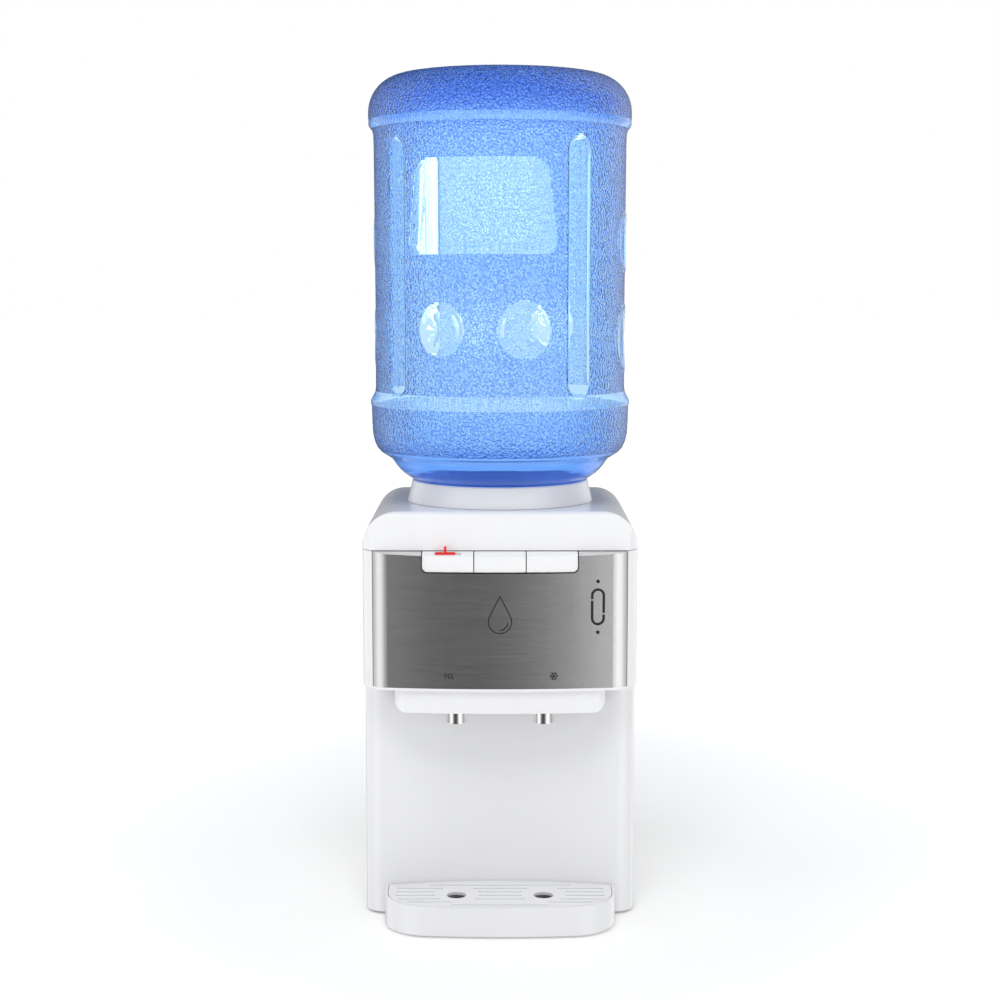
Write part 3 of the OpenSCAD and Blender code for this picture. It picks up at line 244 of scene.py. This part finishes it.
WHITE = (0.82, 0.82, 0.83)
SLOTS = {
    "white_housing": lambda: moulded("white_housing", WHITE, 0.30, mottle=0.012, coat=0.25),
    "white_keys": lambda: moulded("white_keys", (0.84, 0.84, 0.845), 0.22, mottle=0.012, coat=0.4),
    "brushed_fascia": lambda: brushed("brushed_fascia", (0.78, 0.78, 0.785), 0.24),
    "chrome_spouts": lambda: polished("chrome_spouts", (0.85, 0.85, 0.86), 0.07),
    "grey_plastic": lambda: moulded("grey_plastic", (0.30, 0.31, 0.33), 0.5, depth=0.08),
    "white_inner": lambda: moulded("white_inner", (0.78, 0.78, 0.77), 0.45, depth=0.05),
    "dark_marks": lambda: moulded("dark_marks", (0.012, 0.012, 0.014), 0.3, mottle=0.3),
    "black_plastic": lambda: moulded("black_plastic", (0.025, 0.025, 0.028), 0.45, depth=0.15),
    "rubber": lambda: moulded("rubber", (0.03, 0.03, 0.03), 0.75, depth=0.2, mottle=0.1),
    "silicone": lambda: moulded("silicone", (0.72, 0.75, 0.78), 0.4, mottle=0.03),
    "spring_steel": lambda: polished("spring_steel", (0.62, 0.62, 0.65), 0.22),
    "tank_steel": lambda: brushed("tank_steel", (0.55, 0.55, 0.56), 0.32, along="z"),
    "aluminium": lambda: brushed("aluminium", (0.70, 0.71, 0.73), 0.38, along="z"),
    "foam": lambda: foamed("foam", (0.80, 0.77, 0.62)),
    "board": lambda: moulded("board", (0.02, 0.16, 0.06), 0.35, mottle=0.15),
    "red_plastic": lambda: moulded("red_plastic", (0.80, 0.015, 0.012), 0.28, coat=0.3),
    "green_plastic": lambda: moulded("green_plastic", (0.01, 0.28, 0.07), 0.28, coat=0.3),
    "blue_bottle": lambda: hammered_blue("blue_bottle"),
    "pale_cap": lambda: moulded("pale_cap", (0.55, 0.70, 0.92), 0.4, mottle=0.03),
}
materials = {slot: make() for slot, make in SLOTS.items()}
materials["blue_smooth"] = hammered_blue("blue_smooth", smooth=True)


def dress_nodes():
    """Gives every CAD node the material of its slot."""
    for part in frame["record"]["subparts"]:
        mesh = frame["nodes"][part["node"]].data
        mesh.materials.clear()
        mesh.materials.append(materials[part["material_slot"]])


# ---------- bottle ----------

WALL = 1.1 * MM
GRID_TURNS = 480

FLUTES = 4
FLUTE_TURN = math.radians(37)
FLUTE_HALF_W = 13.0 * MM
FLUTE_DEPTH = 5.0 * MM
FLUTE_LOW = TOP_Z - 324 * MM
FLUTE_HIGH = TOP_Z - 68 * MM
FLUTE_EDGE = 1.12               # where a flute begins, as a share of its half width
FLUTE_FADE = 0.42               # and the share over which it reaches its depth
FLUTE_SMOOTH = 0.4 * MM         # the skin is smooth where a flute is deeper than this

PANEL_TURN = math.radians(-9.5)
PANEL_Z = TOP_Z - 177 * MM, TOP_Z - 98 * MM
PANEL_HALF_W = 76 * MM          # at its lower edge
PANEL_NARROWS = 11.5 * MM       # from there to its upper edge, on each side
PANEL_PAST = 0.3                # its sides run on past both edges by this share of its height
PANEL_ROUND = 9 * MM
PANEL_DEPTH = 3.6 * MM
PANEL_RIM = 3.5 * MM            # from the edge to the crest of the raised rim
PANEL_SMOOTH = 7.5 * MM         # the smooth skin goes this far past the edge

# turn in degrees, distance below the top and radius in millimetres
ROSETTES = [(-27.5, 257, 24), (10.5, 257, 26)]
PLAIN_DISCS = [(80, 169, 28), (80, 267, 32)]
DISCS = ROSETTES + PLAIN_DISCS
DISC_DEPTH = 3.0 * MM
DISC_RIM = 1.5 * MM
DISC_RIM_HALF_W = 2 * MM
DISC_SMOOTH = 2.5 * MM

SLOPE = 5 * MM                  # a panel or disc sinks in over this width
RIM_RISE = 1.1 * MM
PETALS = 7
PETAL_DEPTH = 1.0 * MM
PETAL_EDGE = 4 * MM             # the petals begin this far inside the disc's edge
PETAL_FADE = 8 * MM

# distances below the top, in millimetres
RELIEF_FROM, RELIEF_TO = 60, 322
SMOOTH_BANDS = [(46, 56), (RELIEF_TO, 336), (382, 500)]


def ease(t):
    """A soft step from 0 to 1."""
    t = min(1.0, max(0.0, t))
    return t * t * (3 - 2 * t)


def bottle_outline():
    """Radius and distance below the top, in millimetres, from the middle of the closed end down."""
    top = [(0, 5), (30, 4.6), (60, 3.2), (80, 1.2), (94, 0.1)]
    flat, corner = 97, 38
    edge = [(flat + corner * math.sin(math.radians(a)), corner - corner * math.cos(math.radians(a)))
            for a in range(6, 91, 7)]
    body = [(135, 43), (134.6, 47.5), (134.9, 50), (133.8, 52.5), (131, 56), (130, 60), (129.6, 70),
            (129.2, 150), (128.8, 240), (129.2, 318), (130, 323), (132.6, 328), (134.2, 331),
            (134.4, 334), (133.6, 337), (133.4, 342), (133.2, 352), (132.4, 366), (130.6, 374),
            (127.6, 380.5), (123.2, 385), (118.0, 388.2), (113.4, 391), (110.6, 394.5),
            (108.4, 398), (104.6, 402.6), (99.6, 407.2), (94, 411), (87.4, 414.5)]
    neck = [(70, 427), (45, 444.8), (32, 453.4), (28, 457), (27, 461), (27, 490)]
    return top + edge + body + neck


def fine_outline(step=2.2):
    """The outline with points no further apart than a step."""
    points = bottle_outline()
    fine = [points[0]]
    for a, b in zip(points, points[1:]):
        count = max(1, math.ceil(math.dist(a, b) / step))
        fine += [(a[0] + (b[0] - a[0]) * k / count, a[1] + (b[1] - a[1]) * k / count)
                 for k in range(1, count + 1)]
    return fine


def flute_depth(turn, z):
    """How deep the round-ended flutes lie at this place."""
    pitch = 2 * math.pi / FLUTES
    off = (turn - FLUTE_TURN + pitch / 2) % pitch - pitch / 2
    x = off * WIDE_R
    end = max(FLUTE_LOW + FLUTE_HALF_W - z, z - FLUTE_HIGH + FLUTE_HALF_W, 0.0)
    reach = math.hypot(x, end) / FLUTE_HALF_W
    return FLUTE_DEPTH * ease((FLUTE_EDGE - reach) / FLUTE_FADE)


def panel_depth(turn, z):
    """How far inside the smooth four-sided panel this place lies."""
    off = turn - PANEL_TURN
    low, high = PANEL_Z
    t = (z - low) / (high - low)
    half_w = PANEL_HALF_W - PANEL_NARROWS * min(1 + PANEL_PAST, max(-PANEL_PAST, t))
    x = half_w - abs(off) * WIDE_R - PANEL_ROUND
    y = min(z - low, high - z) - PANEL_ROUND
    if x < 0 and y < 0:
        return PANEL_ROUND - math.hypot(x, y)
    return min(x, y) + PANEL_ROUND


def disc_reach(turn, z):
    """How far inside the nearest disc this place lies, where on it, and whether it is plain.
    Each disc has a twin on the opposite side of the bottle."""
    half_turn = math.pi
    best = -1.0, 0.0, 0.0, True
    for at, drop, radius in DISCS:
        off = (turn - math.radians(at) + half_turn / 2) % half_turn - half_turn / 2
        x, y = off * WIDE_R, z - (TOP_Z - drop * MM)
        inside = radius * MM - math.hypot(x, y)
        if inside > best[0]:
            best = inside, x, y, (at, drop, radius) in PLAIN_DISCS
    return best


def relief(turn, z):
    """Depth pressed into the wall, and whether the skin is smooth there."""
    flute = flute_depth(turn, z)
    panel = panel_depth(turn, z)
    disc, x, y, plain = disc_reach(turn, z)
    rim = ease(1 - abs(panel + PANEL_RIM) / PANEL_RIM)
    rim += ease(1 - abs(disc + DISC_RIM) / DISC_RIM_HALF_W)
    depth = flute + PANEL_DEPTH * ease(panel / SLOPE) + DISC_DEPTH * ease(disc / SLOPE) - RIM_RISE * rim
    if disc > PETAL_EDGE and not plain:
        petals = math.cos(PETALS * math.atan2(y, x)) * ease((disc - PETAL_EDGE) / PETAL_FADE)
        depth -= PETAL_DEPTH * petals
    smooth = flute > FLUTE_SMOOTH or panel > -PANEL_SMOOTH or disc > -DISC_SMOOTH
    return depth, smooth


def bottle_wall():
    """The outside of the bottle as a grid of rings, with the second material where it is smooth."""
    mesh = bmesh.new()
    rings = []
    smooth_at = {}
    for index, (radius, drop) in enumerate(fine_outline()):
        z = TOP_Z - drop * MM
        if radius == 0:
            rings.append([mesh.verts.new((0, AXIS_Y, z))])
            continue
        ring = []
        band = any(low < drop < high for low, high in SMOOTH_BANDS)
        for k in range(GRID_TURNS):
            turn = 2 * math.pi * k / GRID_TURNS - math.pi
            depth, smooth = relief(turn, z) if RELIEF_FROM < drop < RELIEF_TO else (0.0, False)
            r = radius * MM - depth
            ring.append(mesh.verts.new((r * math.sin(turn), AXIS_Y - r * math.cos(turn), z)))
            smooth_at[(index, k)] = smooth or band
        rings.append(ring)
    for index, (upper, lower) in enumerate(zip(rings, rings[1:])):
        for k in range(GRID_TURNS):
            after = (k + 1) % GRID_TURNS
            if len(upper) == 1:
                face = mesh.faces.new((upper[0], lower[k], lower[after]))
            else:
                face = mesh.faces.new((upper[k], lower[k], lower[after], upper[after]))
            face.smooth = True
            face.material_index = 1 if smooth_at[(index + 1, k)] else 0
    mesh.normal_update()
    return mesh


def add_mesh(name, mesh, slots, thickness, body):
    """Makes a piece of a bmesh sheet, with its materials, its thickness and the body it rides on."""
    data = bpy.data.meshes.new(name)
    mesh.to_mesh(data)
    mesh.free()
    piece = add_object(name, data)
    for slot in slots:
        data.materials.append(materials[slot])
    wall = piece.modifiers.new("wall", "SOLIDIFY")
    wall.thickness = thickness
    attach(piece, body)
    return piece


def make_bottle():
    """The blow-moulded bottle: one closed shell with bands, flutes, panels and dimples."""
    piece = add_mesh("bottle_wall", bottle_wall(), ["blue_bottle", "blue_smooth"], WALL, "bottle")
    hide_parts("bottle")


# ---------- marks on the fascia ----------

FASCIA_BOW = 805 * MM
INK_W = 0.8 * MM
INK_THICK = 0.2 * MM
INK_OUT = 0.25 * MM
MARK_RISE = 13 * MM             # above the steel's lower edge
STEAM_ASIDE = 7 * MM            # outside the hot spout
SNOW_ASIDE = 9.5 * MM           # outside the cold spout


def fascia_point(x, z):
    """A point on the bowed steel face at x and z, a little in front of it."""
    y = fascia_low[1] + FASCIA_BOW - math.sqrt(FASCIA_BOW * FASCIA_BOW - x * x)
    return Vector((x, y - INK_OUT, z))


def line_mark(name, strokes, centre):
    """Thin printed strokes on the steel. Each stroke is a list of points, in millimetres."""
    mesh = bmesh.new()
    for stroke in strokes:
        left, right = [], []
        for i, point in enumerate(stroke):
            before = Vector(stroke[max(0, i - 1)])
            after = Vector(stroke[min(len(stroke) - 1, i + 1)])
            ahead = (after - before).normalized()
            side = Vector((-ahead.y, ahead.x)) * (INK_W / 2)
            at = Vector(point) * MM
            for row, sign in ((left, 1), (right, -1)):
                edge = at + side * sign
                row.append(mesh.verts.new(fascia_point(centre[0] + edge.x, centre[1] + edge.y)))
        for i in range(len(stroke) - 1):
            mesh.faces.new((left[i], right[i], right[i + 1], left[i + 1]))
    bmesh.ops.recalc_face_normals(mesh, faces=mesh.faces)
    add_mesh(name, mesh, ["dark_marks"], INK_THICK, "housing")


def steam_strokes():
    """Three wavy lines of steam, in millimetres."""
    sway, gap, height = 0.9, 3.2, 6
    steps = [0.5 * k for k in range(2 * height + 1)]
    return [[(x + sway * math.sin(1.25 * t), t - height / 2) for t in steps] for x in (-gap, 0, gap)]


def snow_strokes():
    """A six-armed snowflake, with a fork on each arm, in millimetres."""
    arm, fork, tip, spread = 4, 2.4, 3.5, 1.2
    strokes = []
    for k in range(6):
        a = math.radians(60 * k)
        along = Vector((math.cos(a), math.sin(a)))
        across = Vector((-along.y, along.x))
        strokes.append([(0, 0), tuple(along * arm)])
        for sign in (-1, 1):
            strokes.append([tuple(along * fork), tuple(along * tip + across * spread * sign)])
    return strokes


def make_marks():
    """The steam mark over the hot spout and the snowflake over the cold one."""
    mark_z = fascia_low[2] + MARK_RISE
    spout = middle("cold_spout").x
    line_mark("steam_mark", steam_strokes(), (-spout - STEAM_ASIDE, mark_z))
    line_mark("snow_mark", snow_strokes(), (spout + SNOW_ASIDE, mark_z))


# ---------- stage, light and camera ----------

FLOOR_R = 30


def make_floor():
    """A pale floor that glows more with distance, so that it fades into the white studio."""
    bpy.ops.mesh.primitive_circle_add(vertices=96, radius=FLOOR_R, fill_type="NGON")
    floor = bpy.context.object
    floor.name = "floor"
    n = Nodes("floor")
    length = n.add("ShaderNodeVectorMath")
    length.operation = "LENGTH"
    n.plug(n.place, length.inputs[0])
    away = length.outputs["Value"]
    n.set(Base_Color=n.ramp(n.noise(3.0, 2.0), (0.3, (0.88, 0.88, 0.88)), (0.7, (0.9, 0.9, 0.9))),
          Roughness=0.8, Emission_Color=(1, 1, 1, 1),
          Emission_Strength=n.span(away, 0.15, 0.5, 0.3, 1.2))
    floor.data.materials.append(n.material)
    floor.visible_glossy = False


def area_light(name, at, aim, size, power, tall=None):
    """A soft light that shows in no reflection, and is square unless its height is given."""
    data = bpy.data.lights.new(name, "AREA")
    data.energy = power
    data.size = size
    if tall:
        data.shape = "RECTANGLE"
        data.size_y = tall
    light = add_object(name, data)
    light.location = at
    light.rotation_euler = (Vector(aim) - Vector(at)).to_track_quat("-Z", "Y").to_euler()
    light.visible_glossy = False
    light.visible_transmission = False


PEAK = 4.0


class Studio:
    """The world's light as each kind of ray meets it. A panorama's brightness goes up to PEAK."""

    def __init__(self):
        world = bpy.data.worlds.new("studio")
        world.use_nodes = True
        self.tree = world.node_tree
        self.tree.nodes.clear()
        self.path = self.tree.nodes.new("ShaderNodeLightPath")
        coords = self.tree.nodes.new("ShaderNodeTexCoord")
        split = self.tree.nodes.new("ShaderNodeSeparateXYZ")
        self.tree.links.new(coords.outputs["Generated"], split.inputs[0])
        self.across = split.outputs["X"]
        bpy.context.scene.world = world

    def panorama(self, width, stops):
        """Brightness from left to right, between the sines of two angles."""
        scale = self.tree.nodes.new("ShaderNodeMapRange")
        self.tree.links.new(self.across, scale.inputs["Value"])
        scale.inputs["From Min"].default_value = -width
        scale.inputs["From Max"].default_value = width
        ramp = self.tree.nodes.new("ShaderNodeValToRGB")
        self.tree.links.new(scale.outputs["Result"], ramp.inputs["Fac"])
        set_stops(ramp.color_ramp, [((at + width) / (2 * width), tuple(c / PEAK for c in colour))
                                    for at, colour in stops])
        return self.light(ramp.outputs["Color"], PEAK)

    def light(self, colour, strength):
        """One background of a colour, or of another node's colours."""
        node = self.tree.nodes.new("ShaderNodeBackground")
        if isinstance(colour, bpy.types.NodeSocket):
            self.tree.links.new(colour, node.inputs["Color"])
        else:
            node.inputs["Color"].default_value = (*colour, 1)
        node.inputs["Strength"].default_value = strength
        return node.outputs[0]

    def when(self, ray, yes, no):
        """One background for a kind of ray, and another for all others."""
        mix = self.tree.nodes.new("ShaderNodeMixShader")
        self.tree.links.new(self.path.outputs[ray], mix.inputs["Fac"])
        self.tree.links.new(no, mix.inputs[1])
        self.tree.links.new(yes, mix.inputs[2])
        return mix.outputs[0]

    def use(self, shader):
        out = self.tree.nodes.new("ShaderNodeOutputWorld")
        self.tree.links.new(shader, out.inputs["Surface"])


def make_light():
    """Three soft lights, soft boxes for the steel to mirror, and bright bands behind the bottle."""
    centre = (0, 0, 0.40)
    area_light("top_soft", (-0.1, -1.3, 2.2), centre, 1.0, 17)
    area_light("left_soft", (-2.0, -1.0, 1.0), centre, 0.9, 5, tall=1.8)
    area_light("right_soft", (2.0, -1.3, 0.9), centre, 1.0, 4, tall=1.8)
    studio = Studio()
    room = studio.light((0.98, 0.99, 1.0), 0.68)
    greys = [(-1.0, 0.4), (-0.93, 0.6), (-0.85, 1.25), (-0.62, 1.15), (-0.48, 0.35), (-0.32, 0.15),
             (-0.13, 0.075), (0.0, 0.085), (0.1, 0.14), (0.2, 0.26), (0.32, 0.5), (0.5, 1.3),
             (0.8, 1.3), (0.92, 0.6), (1.0, 0.4)]
    soft_boxes = studio.panorama(1.0, [(at, (grey, grey, grey)) for at, grey in greys])
    behind = studio.panorama(0.16, [
        (-0.16, (0.75, 1.15, 1.8)), (-0.075, (0.75, 1.1, 1.6)), (-0.045, (1.5, 1.6, 1.7)),
        (-0.030, (2.9, 2.7, 2.3)), (-0.014, (0.85, 1.1, 1.5)), (0.006, (0.65, 1.0, 1.5)),
        (0.018, (1.0, 1.25, 1.6)), (0.030, (3.4, 3.0, 2.4)), (0.040, (1.9, 1.9, 1.9)),
        (0.055, (0.85, 1.2, 1.6)), (0.085, (0.7, 1.05, 1.6)), (0.16, (0.75, 1.15, 1.8))])
    white = studio.light((1, 1, 1), 1.0)
    shader = studio.when("Is Glossy Ray", soft_boxes, room)
    shader = studio.when("Is Transmission Ray", behind, shader)
    studio.use(studio.when("Is Camera Ray", white, shader))


def make_camera():
    """A short telephoto view from just above the bottle's waist, a little downwards."""
    distance = 1.95
    eye = 0.649
    pitch = math.radians(6.7)
    data = bpy.data.cameras.new("camera")
    data.lens = 67.3
    data.sensor_width = 36
    camera = add_object("camera", data)
    camera.location = (0, AXIS_Y - distance, eye)
    camera.rotation_euler = (math.pi / 2 - pitch, 0, 0)
    bpy.context.scene.camera = camera


dress_nodes()
make_bottle()
make_marks()
make_floor()
make_light()
make_camera()
bpy.context.scene.view_settings.view_transform = "Standard"
